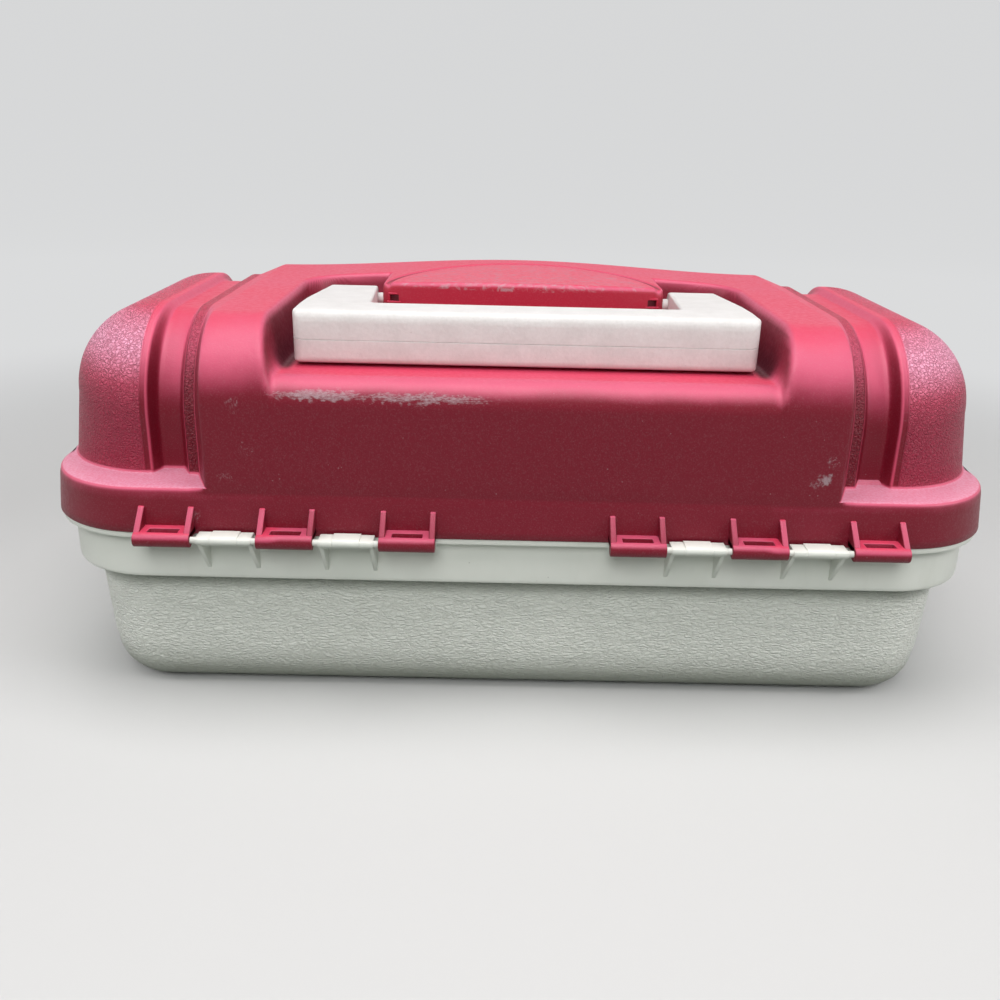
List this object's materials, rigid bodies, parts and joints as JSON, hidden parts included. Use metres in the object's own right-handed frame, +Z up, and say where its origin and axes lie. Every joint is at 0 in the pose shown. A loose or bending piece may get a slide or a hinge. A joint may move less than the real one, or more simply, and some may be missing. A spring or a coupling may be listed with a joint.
{
  "type": "tackle box",
  "caption": "Portable tackle box: moulded base and hinged domed lid with a recessed folding carry handle, snap latches and stepped lift-out trays on link arms.",
  "frame": {"origin": "centre of the underside, on the surface the box stands on", "axes": "+X along the box's length, +Y towards the hinge side, +Z up"},
  "size_m": [0.448, 0.2582, 0.1906],
  "materials": {
    "lid": "fine matte with leather grain, raspberry red",
    "base": "fine matte with leather grain, light grey",
    "handle": "fine matte, warm off-white",
    "tray": "fine matte, light grey",
    "steel": "plain zinc-plated steel"
  },
  "bodies": {
    "base": {"base_tub": "base", "base_arm_rivets": "steel"},
    "lid": {"lid_shell": "lid", "left_lid_bracket": "steel", "right_lid_bracket": "steel", "bracket_rivets": "steel", "left_latch_pin": "steel", "right_latch_pin": "steel"},
    "handle": {"handle": "handle"},
    "left_latch": {"left_latch": "handle"},
    "right_latch": {"right_latch": "handle"},
    "left_arm": {"left_tray_arm": "steel"},
    "right_arm": {"right_tray_arm": "steel"},
    "lower_tray": {"lower_tray": "tray", "lower_tray_rivets": "steel", "lower_divider_1": "tray", "lower_divider_2": "tray", "lower_divider_3": "tray", "lower_divider_4": "tray", "lower_divider_5": "tray"},
    "upper_tray": {"upper_tray": "tray", "upper_tray_rivets": "steel", "upper_divider_1": "tray", "upper_divider_2": "tray", "upper_divider_3": "tray"}
  },
  "joints": [
    {"name": "lid_hinge", "type": "hinge", "parent": "base", "child": "lid", "pos_m": [0, 0.1235, 0.0915], "axis": [-1, 0, 0], "range_deg": [0, 100]},
    {"name": "handle_pivot", "type": "hinge", "parent": "lid", "child": "handle", "pos_m": [0, -0.005, 0.1785], "axis": [1, 0, 0], "range_deg": [0, 140]},
    {"name": "left_latch_pivot", "type": "hinge", "parent": "lid", "child": "left_latch", "pos_m": [-0.105, -0.1197, 0.103], "axis": [-1, 0, 0], "range_deg": [-9, 95]},
    {"name": "right_latch_pivot", "type": "hinge", "parent": "lid", "child": "right_latch", "pos_m": [0.105, -0.1197, 0.103], "axis": [-1, 0, 0], "range_deg": [-9, 95]},
    {"name": "left_arm_pivot", "type": "hinge", "parent": "base", "child": "left_arm", "pos_m": [-0.1945, 0.03, 0.0845], "axis": [-1, 0, 0], "range_deg": [0, 100]},
    {"name": "right_arm_pivot", "type": "hinge", "parent": "base", "child": "right_arm", "pos_m": [0.1945, 0.03, 0.0845], "axis": [-1, 0, 0], "range_deg": [0, 100]},
    {"name": "lower_tray_pivot", "type": "hinge", "parent": "left_arm", "child": "lower_tray", "pos_m": [-0.1945, -0.0255, 0.103], "axis": [-1, 0, 0], "range_deg": [-100, 0]},
    {"name": "upper_tray_pivot", "type": "hinge", "parent": "left_arm", "child": "upper_tray", "pos_m": [-0.1945, -0.0635, 0.1325], "axis": [-1, 0, 0], "range_deg": [-100, 0]}
  ],
  "couplings": [
    {"joint": "left_arm_pivot", "follows": "lid_hinge", "ratio": 1},
    {"joint": "right_arm_pivot", "follows": "lid_hinge", "ratio": 1},
    {"joint": "lower_tray_pivot", "follows": "lid_hinge", "ratio": -1},
    {"joint": "upper_tray_pivot", "follows": "lid_hinge", "ratio": -1}
  ]
}
